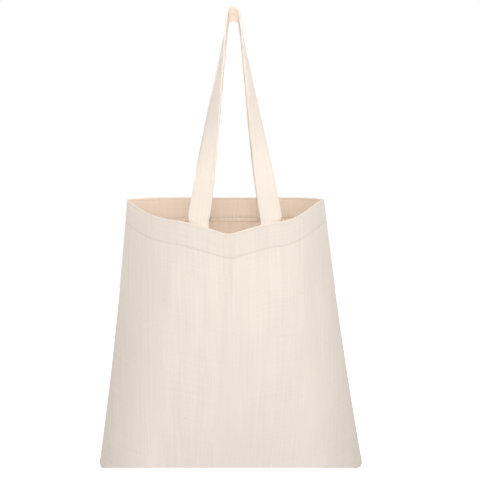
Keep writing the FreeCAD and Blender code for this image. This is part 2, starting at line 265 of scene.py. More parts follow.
def grid_faces(rows, columns, start=0, flip=False, wrap=False):
    """Quads of a grid whose points are numbered row by row from start."""
    made = []
    last = columns if wrap else columns - 1
    for i in range(rows - 1):
        for j in range(last):
            k = (j + 1) % columns
            above, below = start + i * columns, start + (i + 1) * columns
            quad = (above + j, above + k, below + k, below + j)
            made.append(quad[::-1] if flip else quad)
    return made


# a panel's columns, as shares of its half width in from each side edge, then even ones between them
EDGE_SHARES = [0, 0.0006, 0.002, 0.004, 0.0075, 0.013, 0.021, 0.031]
MIDDLE_START, MIDDLE_COLUMNS = 0.042, 173
# its rows, as distances below the rim and above the bottom edge, close together at edges and stitches
TOP_ROWS = [0, 0.08, 0.3, 0.7, 1.3, 2.1, 2.8, 3.5, 4.2, 5, 6.2, 8, 10.5, 13.5, 16.5, 19.5, 22.5, 25.2]
TOP_ROWS += [27.6, 29.4, 30.6, 31.4, 32, 32.6, 33.4, 34.6, 36, 37, 37.6, 37.9, 38.1, 38.5, 39.4, 41]
LOW_ROWS = [11, 8.5, 6.3, 4.5, 3.2, 2.2, 1.4, 0.8, 0.4, 0.15, 0]
MIDDLE_ROWS = 128
EDGE_ROUND = 1
# a stitched row's groove, with what the outer face and the rim's row take of it
ROW_GROOVE, ROW_GROOVE_WIDTH = 0.42, 1.1
OUTER_GROOVE_SHARE, RIM_GROOVE_SHARE = 0.6, 0.7
HEM_THICK = 2 * CLOTH + LAYER_GAP
# where the hem's layer ends: between these shares of the half width, and over HEM_STEP down to HEM_OVER
# below its raw edge
HEM_END = (0.965, 0.985)
HEM_OVER, HEM_STEP = 0.2, 0.7
# how much the hem puffs up between its rows of stitches, and how far from a row it is full
PUFF, PUFF_REACH = 0.25, 5


def cloth_grid(side):
    """(u, d) of every point of a panel's grid, rows from the rim down."""
    inner = np.linspace(-1 + MIDDLE_START, 1 - MIDDLE_START, MIDDLE_COLUMNS)
    edge = np.array(EDGE_SHARES)
    u = np.concatenate([-1 + edge, inner, (1 - edge)[::-1]])
    height = BOTTOM_DROP + rim_height(side, u)
    top = np.repeat(np.array(TOP_ROWS, float)[:, None], len(u), axis=1)
    low = height[None, :] - np.array(LOW_ROWS, float)[:, None]
    share = np.linspace(0, 1, MIDDLE_ROWS + 2)[1:-1, None]
    middle = top[-1] + (low[0] - top[-1]) * share
    d = np.concatenate([top, middle, low])
    return np.repeat(u[None, :], len(d), axis=0), d


def layer_depths(side, u, d):
    """Depths of the outer and inner face: two layers in the hem, and both faces meet at every edge."""
    height = BOTTOM_DROP + rim_height(side, u)
    hem = smooth((HEM_END[1] - np.abs(u)) / (HEM_END[1] - HEM_END[0]))
    hem = hem * smooth((HEM_DEPTH + HEM_OVER - d) / HEM_STEP)
    thick = CLOTH + (HEM_THICK - CLOTH) * hem
    puff = PUFF * hem * smooth((d - RIM_ROW) / PUFF_REACH) * smooth((HEM_ROW - d) / PUFF_REACH)
    rim_groove = RIM_GROOVE_SHARE * gauss(d - RIM_ROW, ROW_GROOVE_WIDTH)
    groove = ROW_GROOVE * (gauss(d - HEM_ROW, ROW_GROOVE_WIDTH) + rim_groove)
    outer = OUTER_GROOVE_SHARE * groove - puff
    inner = thick - groove * hem + puff
    # the rim is a fold, half as high as the cloth is thick there
    radius = thick / 2
    lift = np.sqrt(np.clip(1 - ((radius - d) / radius) ** 2, 0, 1))
    lift = np.where(d < radius, lift, 1)
    outer = radius + (outer - radius) * lift
    inner = radius + (inner - radius) * lift
    # the side and bottom edges turn in towards the seam
    width = half_width(d / height)
    near = np.minimum((1 - np.abs(u)) * width, height - d)
    turned = 1 - np.sqrt(np.clip(1 - np.clip(1 - near / EDGE_ROUND, 0, 1) ** 2, 0, 1))
    outer = outer + (EDGE_ROUND - outer) * turned
    inner = inner + (EDGE_ROUND - inner) * np.where(near < 1e-6, 1, 0)
    return outer, inner


def make_cloth(side, material, inside_material):
    """A panel with its turned-in hem, as one closed sheet of cloth."""
    u, d = cloth_grid(side)
    rows, columns = u.shape
    outer, inner = layer_depths(side, u, d)
    outside = cloth_point(side, u, d, outer).reshape(-1, 3)
    inside = cloth_point(side, u, d, inner).reshape(-1, 3)
    count = rows * columns
    # the two faces share their edge points
    number = np.arange(count) + count
    edge = np.zeros((rows, columns), bool)
    edge[0], edge[-1], edge[:, 0], edge[:, -1] = True, True, True, True
    number[edge.ravel()] = np.arange(count)[edge.ravel()]
    kept = np.nonzero(~edge.ravel())[0]
    order = np.zeros(2 * count, int)
    order[:count] = np.arange(count)
    order[kept + count] = count + np.arange(len(kept))
    outer_quads = grid_faces(rows, columns, flip=side == BACK)
    inner_quads = [
        tuple(int(order[number[n]]) for n in quad)
        for quad in grid_faces(rows, columns, flip=side == FRONT)
    ]
    points = np.concatenate([outside, inside[kept]])
    height = BOTTOM_DROP + rim_height(side, u)
    flat = np.stack([u * half_width(d / height), -d], axis=-1).reshape(-1, 2)
    uvs = np.concatenate([flat, flat[kept]])
    name = f"{SIDE_NAMES[side]}_cloth"
    piece = new_piece(name, points, outer_quads + inner_quads, material, uvs)
    piece.data.materials.append(inside_material)
    index = [0] * len(outer_quads) + [1] * len(inner_quads)
    piece.data.polygons.foreach_set("material_index", index)
    return piece


# Stitches

STITCH_RINGS = 5
STITCH_SIDES = 6
THREAD_RADIUS, OVERLOCK_RADIUS = 0.3, 0.22
# in thread radii: how high a stitch arches, how deep its ends are sunk, and how thin they are
STITCH_ARCH, STITCH_SUNK, STITCH_END = 1.3, 0.75, 0.62
STITCH_POWER = 3


def stitch_mesh(starts, ends, normals, radius=THREAD_RADIUS):
    """Points and faces of separate stitches, each a short thread that dives into the cloth at its ends."""
    t = np.linspace(0, 1, STITCH_RINGS)[None, :, None]
    middle = starts[:, None] + (ends - starts)[:, None] * t
    arch = 1 - np.abs(2 * t - 1) ** STITCH_POWER
    centres = middle + normals[:, None] * (radius * (STITCH_ARCH * arch - STITCH_SUNK))
    sideways = cross_unit(ends - starts, normals)
    angle = np.linspace(0, math.tau, STITCH_SIDES, endpoint=False)
    ring = (
        np.cos(angle)[None, :, None] * normals[:, None]
        + np.sin(angle)[None, :, None] * sideways[:, None]
    )
    size = radius * (STITCH_END + (1 - STITCH_END) * arch)
    points = centres[:, :, None] + ring[:, None] * size[..., None]
    faces = []
    per = STITCH_RINGS * STITCH_SIDES
    one = grid_faces(STITCH_RINGS, STITCH_SIDES, wrap=True)
    one.append(tuple(range(STITCH_SIDES)))
    one.append(tuple(range(per - 1, per - 1 - STITCH_SIDES, -1)))
    for k in range(len(starts)):
        faces += [tuple(n + k * per for n in f) for f in one]
    return points.reshape(-1, 3), faces


def join_meshes(parts):
    points, faces, count = [], [], 0
    for part_points, part_faces in parts:
        points.append(part_points)
        faces += [tuple(n + count for n in f) for f in part_faces]
        count += len(part_points)
    return np.concatenate(points), faces


def along_line(line, normals, pitch, share):
    """Starts, ends and normals of stitches laid at an even pitch along a line of points."""
    steps = np.linalg.norm(np.diff(line, axis=0), axis=1)
    length = np.concatenate([[0], np.cumsum(steps)])
    count = int(length[-1] / pitch)
    begin = np.arange(count) * length[-1] / count
    finish = begin + share * pitch

    def at(where, values):
        return np.stack([np.interp(where, length, values[:, i]) for i in range(3)], axis=1)

    facing = at((begin + finish) / 2, normals)
    facing /= np.linalg.norm(facing, axis=1, keepdims=True)
    return at(begin, line), at(finish, line), facing


STITCH_PITCH, STITCH_SHARE = 3.1, 0.84
ROW_POINTS = 900
ROW_REACH = 0.968
NORMAL_STEP = 0.5


def cloth_row(side, d, inside):
    """One row of stitches along a panel's mouth, on its outer or its inner face."""
    u = np.linspace(-ROW_REACH, ROW_REACH, ROW_POINTS)
    away = np.full_like(u, d)
    outer, inner = layer_depths(side, u, away)
    depth = inner if inside else outer
    if inside:
        height = BOTTOM_DROP + rim_height(side, u)
        half = STRAP_WIDTH / 2 / half_width(d / height)
        for end in (LEFT, RIGHT):
            over = np.abs(u - end * STRAP_PLACE[side]) < half
            depth = np.where(over, SEWN_DEPTH + STRAP_THICKNESS, depth)
    line = cloth_point(side, u, away, depth)
    beyond = cloth_point(side, u, away, depth + (NORMAL_STEP if inside else -NORMAL_STEP))
    normals = (beyond - line) / np.linalg.norm(beyond - line, axis=1, keepdims=True)
    return stitch_mesh(*along_line(line, normals, STITCH_PITCH, STITCH_SHARE))


def make_row(side, d, name, material):
    points, faces = join_meshes([cloth_row(side, d, inside) for inside in (False, True)])
    return new_piece(name, points, faces, material)


# Handles


def unit(vector):
    return vector / np.linalg.norm(vector)


def foot_point(side, end):
    inside = SEWN_DEPTH + STRAP_THICKNESS / 2
    feet = []
    for e in (LEFT, RIGHT):
        face, normal = face_and_normal(side, e * STRAP_PLACE[side], 0.0)
        feet.append(face - normal * inside)
    y = (feet[0][1] + feet[1][1]) / 2
    z = max(rim_height(side, e * STRAP_PLACE[side]) for e in (LEFT, RIGHT)) + HINGE_RISE
    return np.array([feet[0][0] if end == LEFT else feet[1][0], y, z])


def strap_frame(side, s):
    """(middle, width direction, outer normal) at station s of a handle, as in the CAD model."""
    end = LEFT if s < 0 else RIGHT
    foot = foot_point(side, end)
    radius = PEG_RADIUS + STRAP_THICKNESS / 2
    loop_y = side * (LOOP_GAP + STRAP_WIDTH) / 2
    lean = math.atan2(abs(foot[0]), -foot[2]) - math.asin(radius / math.hypot(foot[0], foot[2]))
    if abs(s) <= 1:
        angle = math.pi / 2 - s * (math.pi / 2 - lean)
        normal = np.array([math.cos(angle), 0, math.sin(angle)])
        return normal * radius + np.array([0, loop_y, 0]), np.array([0.0, 1, 0]), normal
    t = abs(s) - 1
    top = np.array([end * radius * math.cos(lean), loop_y, radius * math.sin(lean)])
    reach = foot - top
    middle = top + reach * np.array([t, t**LEAN_POWER, t])
    slope = reach[1] * LEAN_POWER * t ** (LEAN_POWER - 1)
    along = unit(np.array([reach[0], slope, reach[2]]))
    turn = math.pi / 2 * t**TWIST_POWER
    flat = np.array([-side * end * math.sin(turn), math.cos(turn), 0])
    width = unit(flat - along * (1 - t**LEVEL_POWER) * flat.dot(along))
    return middle, width, unit(np.cross(along, width)) * end


LEG_STATIONS = 130
LOOP_STATIONS = 44
SEWN_STATIONS = 26
LEG_GRADING, SEWN_GRADING = 1.15, 1.4
STRAP_GAP = 0.9


def sewn_section(side, end, across, share):
    """(middle points, normals towards the panel) across a sewn end, at a share of its height."""
    place = end * STRAP_PLACE[side]
    foot = foot_point(side, end)
    per_share = np.linalg.norm(
        outer_face(side, place + STEP, 0.0) - outer_face(side, place, 0.0)
    ) / STEP
    u = place + across / per_share
    top = foot[2] - STRAP_GAP
    above = rim_height(side, u) - top
    below = above + (HEM_DEPTH - SEWN_CLEAR - above) * share
    face, normal = face_and_normal(side, u, below / (rim_height(side, u) + BOTTOM_DROP))
    follow = folds(side, u, np.maximum(below, 0))
    near = face + normal * (follow - SEWN_DEPTH)[:, None]
    square = smooth(-below / SQUARE_OVER)
    flat_y = foot[1] + side * STRAP_THICKNESS / 2
    near[:, 1] += (flat_y - near[:, 1]) * square
    normal = normal + (np.array([0, side, 0]) - normal) * square[:, None]
    normal /= np.linalg.norm(normal, axis=1, keepdims=True)
    return near - normal * STRAP_THICKNESS / 2, normal


def strap_stations(side, across):
    """Cross-sections of a handle from one sewn end over the peg to the other: middles and outer normals.

    across runs along the strap's width direction, which is turned round at one of the ends.
    """
    middles, normals = [], []
    shares = np.linspace(0, 1, SEWN_STATIONS) ** SEWN_GRADING

    def sewn(end, order):
        sign = -side * end
        for share in order:
            middle, normal = sewn_section(side, end, across * sign, share)
            middles.append(middle)
            normals.append(normal)

    sewn(LEFT, shares[::-1])
    leg = 1 + np.linspace(0, 1, LEG_STATIONS) ** LEG_GRADING
    loop = np.linspace(-1, 1, LOOP_STATIONS)[1:-1]
    for s in np.concatenate([-leg[::-1], loop, leg]):
        middle, width, normal = strap_frame(side, s)
        middles.append(middle + across[:, None] * width)
        normals.append(np.repeat(normal[None], len(across), axis=0))
    sewn(RIGHT, shares)
    return np.array(middles), np.array(normals)


# how far the columns are drawn towards the strap's edges, from 0 to 1
STRAP_COLUMNS, COLUMN_DRAW = 31, 0.45
STRAP_ROUND = 1.15
STRAP_CROWN, CROWN_REACH = 0.12, 4
STRAP_GROOVE, STRAP_GROOVE_WIDTH = 0.22, 1.0
# wave length and size of the strap's waves out of its plane, of its twist and of its edges
STRAP_BOW, STRAP_TWIST, STRAP_CURL = (80, 0.22), (34, 0.15), (9, 0.08)
CURL_POWER = 3
WAVE_HALF_WIDTH = 14
WIDTH_WAVE, WIDTH_WAVE_SIZE = 45, 0.012
# the waves stop this far from the peg, and come in over these lengths from it and from the sewn ends
LOOP_CLEAR, LOOP_FADE, FOOT_FADE = 15, 40, 60


def strap_half(across):
    """Half a strap's thickness across its width: rounded edges, and a groove along each stitched row."""
    edge = STRAP_WIDTH / 2 - np.abs(across)
    crown = STRAP_CROWN * smooth((edge - STRAP_EDGE_ROW) / CROWN_REACH)
    body = STRAP_THICKNESS / 2 - STRAP_CROWN + crown
    body = body - STRAP_GROOVE * gauss(edge - STRAP_EDGE_ROW, STRAP_GROOVE_WIDTH)
    near = np.clip(1 - edge / STRAP_ROUND, 0, 1)
    return body * np.sqrt(np.clip(1 - near**2, 0, 1))


def strap_waves(side, length, across):
    """Slight unevenness of a folded and stitched strap, as an offset along its normal."""
    seed = 50 + side
    share = across / WAVE_HALF_WIDTH
    waves = []
    for (wave, size), offset in ((STRAP_BOW, 0), (STRAP_TWIST, 5), (STRAP_CURL, 9)):
        waves.append(size * ripple(length / wave, seed + offset))
    bow, twist, curl = waves
    return bow + twist * share + curl * np.abs(share) ** CURL_POWER


def strap_width_waves(side, length):
    return 1 + WIDTH_WAVE_SIZE * ripple(length / WIDTH_WAVE, 60 + side)


def strap_surface(side, across):
    """Middles, normals and lengths along a handle. Its waves fade out at the sewn ends and at the peg."""
    middles, normals = strap_stations(side, across)
    centre = middles[:, len(across) // 2]
    steps = np.linalg.norm(np.diff(centre, axis=0), axis=1)
    length = np.concatenate([[0], np.cumsum(steps)])
    ends = SEWN_STATIONS
    clear = np.minimum(length - length[ends], length[-1 - ends] - length)
    from_peg = np.abs(length - length[-1] / 2)
    fade = smooth(clear / FOOT_FADE) * smooth((from_peg - LOOP_CLEAR) / LOOP_FADE)
    waves = strap_waves(side, length[:, None], across[None, :]) * fade[:, None]
    middles = middles + normals * waves[..., None]
    pull = (strap_width_waves(side, length) - 1) * fade
    centre = middles[:, len(across) // 2][:, None]
    middles = middles + (middles - centre) * pull[:, None, None]
    return middles, normals, length


def make_strap(side, material):
    """A handle with its two sewn ends, as one folded strap."""
    even = np.linspace(-1, 1, STRAP_COLUMNS)
    shares = COLUMN_DRAW * np.sin(math.pi / 2 * even) + (1 - COLUMN_DRAW) * even
    across = shares * STRAP_WIDTH / 2
    middles, normals, length = strap_surface(side, across)
    thick = strap_half(across)[None, :, None]
    upper = middles + normals * thick
    lower = middles - normals * thick
    # each ring runs across the outer face and back across the inner one, which share the two edge points
    ring = np.concatenate([upper, lower[:, -2:0:-1]], axis=1)
    rows, columns = ring.shape[:2]
    faces = grid_faces(rows, columns, flip=True, wrap=True)
    points = ring.reshape(-1, 3)
    for i in (0, rows - 1):
        for j in range(STRAP_COLUMNS - 1):
            a, b = i * columns + j, i * columns + j + 1
            c = i * columns + (columns - j - 1) % columns
            e = i * columns + (columns - j) % columns
            quad = [a, b, c, e]
            if j == 0:
                quad = [a, b, c]
            if j == STRAP_COLUMNS - 2:
                quad = [a, b, e]
            faces.append(tuple(quad if i == 0 else quad[::-1]))
    flat_across = np.concatenate([across, across[-2:0:-1]])
    uvs = np.stack(
        np.broadcast_arrays(flat_across[None, :], length[:, None]), axis=-1
    ).reshape(-1, 2)
    name = f"{SIDE_NAMES[side]}_strap"
    return new_piece(name, points, faces, material, uvs)


def make_strap_thread(side, material):
    """Rows of stitches along both edges of a handle, on both of its faces."""
    edge = STRAP_WIDTH / 2 - STRAP_EDGE_ROW
    parts = []
    across = np.array([-edge, 0, edge])
    middles, normals, _ = strap_surface(side, across)
    thick = strap_half(across)
    first = SEWN_STATIONS - 1
    for column in (0, 2):
        for facing in (1, -1):
            line = middles[:, column] + normals[:, column] * thick[column] * facing
            normal = normals[:, column] * facing
            if facing == 1:
                line, normal = line[first:-first], normal[first:-first]
            parts.append(stitch_mesh(*along_line(line, normal, STITCH_PITCH, STITCH_SHARE)))
    points, faces = join_meshes(parts)
    return new_piece(f"{SIDE_NAMES[side]}_strap_thread", points, faces, material)


# Sewn edges inside the side seams and along the bottom

SEAM_ROWS = 150
SEAM_COLUMNS = 9
# the shares of the side seams' height that their allowances take
SIDE_REACH = (0.02, 0.88)
SIDE_SEAM_LENGTH = 330
SEAM_FOLD = 1.2
SEAM_DEPTHS = (0.04, CLOTH)
# about how many waves a seam has: in its raw edge, in both layers together and in the gap between them
RAW_WAVES, BOTH_WAVES, GAP_WAVES = 18, 14, 9
RAW_SIZE, BOTH_SIZE = 0.7, 0.5
# the gap between the layers at the raw edge: its mean, its wave's size, the most, and each layer's share
GAP_MEAN, GAP_SIZE, GAP_MOST, GAP_SHARE = 0.5, 0.6, 2, 0.5
OVERLOCK_PITCH, OVERLOCK_ENDS = 2.2, (0.005, 0.995)
OVERLOCK_INSET, OVERLOCK_RISE = 0.3, 0.35
# what the overlock's stitches at the seam's row follow of the raw edge's waves
ROW_FOLLOW = 0.3


def seam_sheet(place, length_shares, seed):
    """Two layers of cloth in the mid plane, with a wavy raw edge. place(inset, share) gives x and z."""
    insets = np.linspace(0, 1, SEAM_COLUMNS)
    rows = len(length_shares)
    both = BOTH_SIZE * ripple(length_shares * BOTH_WAVES, seed)
    layers = []
    for facing in (FRONT, BACK):
        for depth in SEAM_DEPTHS:
            grid = np.zeros((rows, SEAM_COLUMNS, 3))
            for j, inset in enumerate(insets):
                reach = SEAM_FOLD + (SEAM_INSET + SEAM_ALLOWANCE - SEAM_FOLD) * inset
                raw = RAW_SIZE * ripple(length_shares * RAW_WAVES, seed + facing)
                x, z = place(reach + raw * inset, length_shares)
                gap = GAP_MEAN + GAP_SIZE * ripple(length_shares * GAP_WAVES, seed + 3 * facing)
                gap = GAP_SHARE * np.clip(gap * inset**2, 0, GAP_MOST)
                grid[:, j, 0], grid[:, j, 2] = x, z
                grid[:, j, 1] = facing * (depth + gap) + both * inset
            layers.append(grid)
    return layers


def sheet_mesh(near, far, flip):
    """A closed thin sheet between two grids."""
    rows, columns = near.shape[:2]
    count = rows * columns
    faces = grid_faces(rows, columns, 0, flip) + grid_faces(rows, columns, count, not flip)
    border = list(range(columns))
    border += [i * columns + columns - 1 for i in range(1, rows)]
    border += [(rows - 1) * columns + j for j in range(columns - 2, -1, -1)]
    border += [i * columns for i in range(rows - 2, 0, -1)]
    for k, a in enumerate(border):
        b = border[(k + 1) % len(border)]
        quad = (a, a + count, b + count, b)
        faces.append(quad[::-1] if flip else quad)
    return np.concatenate([near.reshape(-1, 3), far.reshape(-1, 3)]), faces


def zigzag(place, shares, seed, depth):
    """Overlock stitches: slanting threads between a seam's row of stitches and its raw edge."""
    parts = []
    row = SEAM_INSET + SEAM_ALLOWANCE / 2
    raw = SEAM_INSET + SEAM_ALLOWANCE - OVERLOCK_INSET
    for facing in (FRONT, BACK):
        turns = []
        for k, share in enumerate(shares):
            inset, follow = (row, ROW_FOLLOW) if k % 2 else (raw, 1)
            x, z = place(inset, np.array([share]))
            lean = BOTH_SIZE * ripple(share * BOTH_WAVES, seed) * follow
            turns.append([x[0], facing * depth + lean, z[0]])
        turns = np.array(turns)
        normal = np.repeat([[0.0, facing, 0.0]], len(turns) - 1, axis=0)
        parts.append(stitch_mesh(turns[:-1], turns[1:], normal, OVERLOCK_RADIUS))
    return parts


def side_place(end):
    def place(inset, share):
        v = SIDE_REACH[0] + (SIDE_REACH[1] - SIDE_REACH[0]) * share
        x = centre_line(v) + end * (half_width(v) - inset)
        return x, -CORNER_DROP - (BOTTOM_DROP - CORNER_DROP) * v

    return place


def bottom_place(inset, share):
    return BOTTOM_SHIFT + (share - 0.5) * BOTTOM_SEAM_LENGTH, -BOTTOM_DROP + inset + 0 * share


def make_seam(name, place, length, seed, materials):
    shares = np.linspace(0, 1, SEAM_ROWS)
    layers = seam_sheet(place, shares, seed)
    parts = [sheet_mesh(layers[0], layers[1], False), sheet_mesh(layers[2], layers[3], True)]
    points, faces = join_meshes(parts)
    uvs = np.stack([points[:, 0], points[:, 2]], axis=1)
    cloth = new_piece(f"{name}_allowance", points, faces, materials["inside"], uvs)
    crossings = np.linspace(*OVERLOCK_ENDS, int(length / OVERLOCK_PITCH))
    points, faces = join_meshes(zigzag(place, crossings, seed, CLOTH + OVERLOCK_RISE))
    thread = new_piece(f"{name}_overlock", points, faces, materials["thread"])
    return cloth, thread


# Materials


class Nodes:
    """A short way to write a material's node tree."""

    def __init__(self, name):
        self.material = bpy.data.materials.new(name)
        self.material.use_nodes = True
        self.tree = self.material.node_tree
        self.shader = self.tree.nodes["Principled BSDF"]

    def add(self, kind, inputs=(), **settings):
        node = self.tree.nodes.new(kind)
        for key, value in settings.items():
            setattr(node, key, value)
        for key, value in dict(inputs).items():
            self.feed(node.inputs[key], value)
        return node

    def feed(self, socket, value):
        if isinstance(value, bpy.types.NodeSocket):
            self.tree.links.new(value, socket)
        else:
            socket.default_value = value

    def math(self, operation, a, b=0.0, clamp=False):
        node = self.add("ShaderNodeMath", {0: a, 1: b}, operation=operation, use_clamp=clamp)
        return node.outputs[0]

    def mix(self, factor, first, second):
        """A mix of two colours. The node's sockets of one name hold several kinds, so they go by place."""
        node = self.add("ShaderNodeMix", {0: factor, 6: first, 7: second}, data_type="RGBA")
        return node.outputs[2]

    def set(self, **values):
        """Sets the shader's own sockets, such as Sheen_Weight."""
        for key, value in values.items():
            self.shader.inputs[key.replace("_", " ")].default_value = value

    def noise(self, vector, scale, detail=2.0, seed=0.0):
        """Noise from 0 to 1 in stretched cloth coordinates."""
        moved = self.add(
            "ShaderNodeMapping",
            {"Vector": vector, "Scale": scale, "Location": (seed, seed * 0.7, 0)},
        )
        return self.add(
            "ShaderNodeTexNoise", {"Vector": moved.outputs[0], "Scale": 1.0, "Detail": detail}
        ).outputs[0]

    def around_zero(self, value, size):
        """Turns 0..1 noise into a number around zero of about that size."""
        return self.math("MULTIPLY", self.math("SUBTRACT", value, 0.5), 2 * size)

    def band(self, value, place, width):
        """1 on a line at that place, fading to 0 at that distance."""
        away = self.math("ABSOLUTE", self.math("SUBTRACT", value, place))
        return self.math("SUBTRACT", 1.0, self.math("DIVIDE", away, width), clamp=True)


# lengths in the materials are metres of cloth
WARP_PITCH, WEFT_PITCH = 0.00062, 0.0007
# scale of the yarns' wander across and along the cloth, and its size
WANDER_SCALE, WANDER = (60, 40, 1), 0.0004
# the relief and the shade that the yarns make, and the shade with no yarns
LINES_RELIEF, CROSSING_RELIEF, LINES_SHADE, BASE_SHADE = 0.7, 0.3, 0.05, 0.985
# each unevenness of the yarns: scale across and along the cloth, detail, seed, shade and relief
UNEVENNESS = {
    "fine": ((950, 14, 1), 3.0, 0.0, 0.07, 0.00005),
    "slub": ((300, 7, 1), 2.0, 3.0, 0.06, 0.00012),
    "broad": ((70, 5, 1), 2.0, 5.0, 0.028, 0.0003),
    "weft_slub": ((9, 800, 1), 2.0, 7.0, 0.045, 0.00006),
    "blotch": ((16, 12, 1), 2.0, 9.0, 0.03, 0.0),
}
WEAVE_RELIEF, BUMP_STRENGTH = 0.00009, 0.8
# slubs turn the cloth's colour towards this multiple of it
SLUB_TINT, SLUB_TINT_SHARE = (0.99, 0.97, 0.94), 0.5
# flecks of seed husk: scale, seed, the noise above which they show, their sharpness, share and colour
FLECK_SCALE, FLECK_SEED, FLECK_FROM, FLECK_SHARP = (520, 170, 1), 21.0, 0.745, 22.0
FLECK_SHARE, FLECK_COLOUR = 0.35, (0.42, 0.30, 0.19, 1)
# painted shade at the panel's low side edges: how far down it is full, how far in from the edge it reaches,
# and how much painted light lifts the low middle
SHADE_DEPTH, SHADE_REACH, MIDDLE_LIFT = 0.38, 0.07, 0.05
SHADE_FLARE = (BOTTOM_WIDTH - MOUTH_WIDTH) / 2 * MM


def side_shade(n, across, along, size):
    """Painted shade: darkens a panel towards its low side edges by up to size, and painted light lifts its
    low middle.
    """
    down = n.math("DIVIDE", along, -SHADE_DEPTH, clamp=True)
    half = n.math("ADD", MOUTH_WIDTH / 2 * MM, n.math("MULTIPLY", down, SHADE_FLARE))
    away = n.math("SUBTRACT", half, n.math("ABSOLUTE", across))
    near = n.math("SUBTRACT", 1.0, n.math("DIVIDE", away, SHADE_REACH), clamp=True)
    dark = n.math("MULTIPLY", near, n.math("MULTIPLY", down, size))
    middle = n.math("MULTIPLY", down, n.math("SUBTRACT", 1.0, near))
    return n.math("ADD", n.math("SUBTRACT", 1.0, dark), n.math("MULTIPLY", middle, MIDDLE_LIFT))


def cloth_material(name, colour, rows, row_axis=1, weave=1.0, dark_above=None, edge_shade=0.0):
    """Unbleached plain-weave cotton, in cloth coordinates.

    rows lists (place, width, darkening) of stitched lines along row_axis: the darkening is painted shade in
    their grooves, and a negative one is a painted highlight. dark_above is (place, darkening) of the hem.
    weave is how much of the unevenness shows, and edge_shade is side_shade's size of painted shade.
    """
    n = Nodes(name)
    uv = n.add("ShaderNodeUVMap", uv_map="cloth").outputs[0]
    split = n.add("ShaderNodeSeparateXYZ", {0: uv})
    across, along = split.outputs[0], split.outputs[1]
    wander = n.around_zero(n.noise(uv, WANDER_SCALE), WANDER)
    warp = n.math("SINE", n.math("MULTIPLY", n.math("ADD", across, wander), math.pi / WARP_PITCH))
    weft = n.math("SINE", n.math("MULTIPLY", n.math("ADD", along, wander), math.pi / WEFT_PITCH))
    crossing = n.math("MULTIPLY", n.math("MULTIPLY", warp, weft), CROSSING_RELIEF)
    lines = n.math("MULTIPLY", n.math("ABSOLUTE", warp), n.math("ABSOLUTE", weft))
    height = n.math("ADD", n.math("MULTIPLY", lines, LINES_RELIEF), crossing)

    uneven = {}
    shade = n.math("MULTIPLY", lines, LINES_SHADE * weave)
    for kind, (scale, detail, seed, size, _) in UNEVENNESS.items():
        uneven[kind] = n.around_zero(n.noise(uv, scale, detail, seed), 1)
        # the finest yarns show as much in every weave
        share = 1 if kind == "fine" else weave
        shade = n.math("ADD", shade, n.math("MULTIPLY", uneven[kind], size * share))
    shade = n.math("ADD", BASE_SHADE, shade)
    # each stitched line darkens the cloth as painted shade in its groove, or lightens it as a painted
    # highlight where its darkening is negative
    for place, width, dark in rows:
        line = n.band(split.outputs[row_axis], place, width)
        shade = n.math("MULTIPLY", shade, n.math("SUBTRACT", 1.0, n.math("MULTIPLY", line, dark)))
    if dark_above is not None:
        place, dark = dark_above
        above = n.math("GREATER_THAN", along, place)
        shade = n.math("MULTIPLY", shade, n.math("SUBTRACT", 1.0, n.math("MULTIPLY", above, dark)))

    # painted shade at the low side edges, and painted light in the low middle
    if edge_shade:
        shade = n.math("MULTIPLY", shade, side_shade(n, across, along, edge_shade))

    slub = uneven["slub"]
    tint = n.math("MULTIPLY", n.math("ADD", slub, 0.5, clamp=True), SLUB_TINT_SHARE)
    tinted = tuple(value * change for value, change in zip(colour, SLUB_TINT))
    cotton = n.mix(tint, (*colour, 1), (*tinted, 1))
    shaded = n.add("ShaderNodeVectorMath", {0: cotton, "Scale": shade}, operation="SCALE")
    fleck = n.noise(uv, FLECK_SCALE, 1.0, FLECK_SEED)
    fleck = n.math("MULTIPLY", n.math("SUBTRACT", fleck, FLECK_FROM), FLECK_SHARP, clamp=True)
    fleck = n.math("MULTIPLY", fleck, FLECK_SHARE)
    n.feed(n.shader.inputs["Base Color"], n.mix(fleck, shaded.outputs[0], FLECK_COLOUR))

    rough = n.math("ADD", 0.88, n.math("MULTIPLY", slub, 0.06), clamp=True)
    n.feed(n.shader.inputs["Roughness"], rough)
    n.set(Specular_IOR_Level=0.22, Sheen_Weight=0.12, Sheen_Roughness=0.6)
    relief = n.math("MULTIPLY", height, WEAVE_RELIEF)
    for kind, (*_, size) in UNEVENNESS.items():
        relief = n.math("ADD", relief, n.math("MULTIPLY", uneven[kind], size))
    bump = n.add("ShaderNodeBump", {"Height": relief, "Strength": BUMP_STRENGTH, "Distance": 1.0})
    n.feed(n.shader.inputs["Normal"], bump.outputs[0])
    return n.material


THREAD_SCALE = 900.0
THREAD_COLOURS = (0.76, 0.67, 0.57), (0.90, 0.82, 0.73)


def thread_material():
    """Undyed sewing thread: two plies twisted round each other."""
    n = Nodes("sewing_thread")
    place = n.add("ShaderNodeTexCoord").outputs["Object"]
    tone = n.noise(place, (THREAD_SCALE, THREAD_SCALE, THREAD_SCALE), 2.0)
    ramp = n.add("ShaderNodeValToRGB", {0: tone})
    for element, colour in zip(ramp.color_ramp.elements, THREAD_COLOURS):
        element.color = (*colour, 1)
    n.feed(n.shader.inputs["Base Color"], ramp.outputs[0])
    n.set(Roughness=0.7, Sheen_Weight=0.2)
    twist = n.add(
        "ShaderNodeTexWave",
        {"Vector": place, "Scale": THREAD_SCALE, "Distortion": 1.5},
        bands_direction="DIAGONAL",
    )
    bump = n.add("ShaderNodeBump", {"Height": twist.outputs[1], "Strength": 0.5, "Distance": 0.0001})
    n.feed(n.shader.inputs["Normal"], bump.outputs[0])
    return n.material


CANVAS_COLOUR = (0.85, 0.762, 0.684)
# the inside is the same canvas; its lighter, warmer colour is painted light, for light bounced inside the
# bag and shining through the cloth
INSIDE_PAINTED_LIGHT_COLOUR = (0.985, 0.83, 0.69)
STRAP_COLOUR = (0.89, 0.795, 0.705)
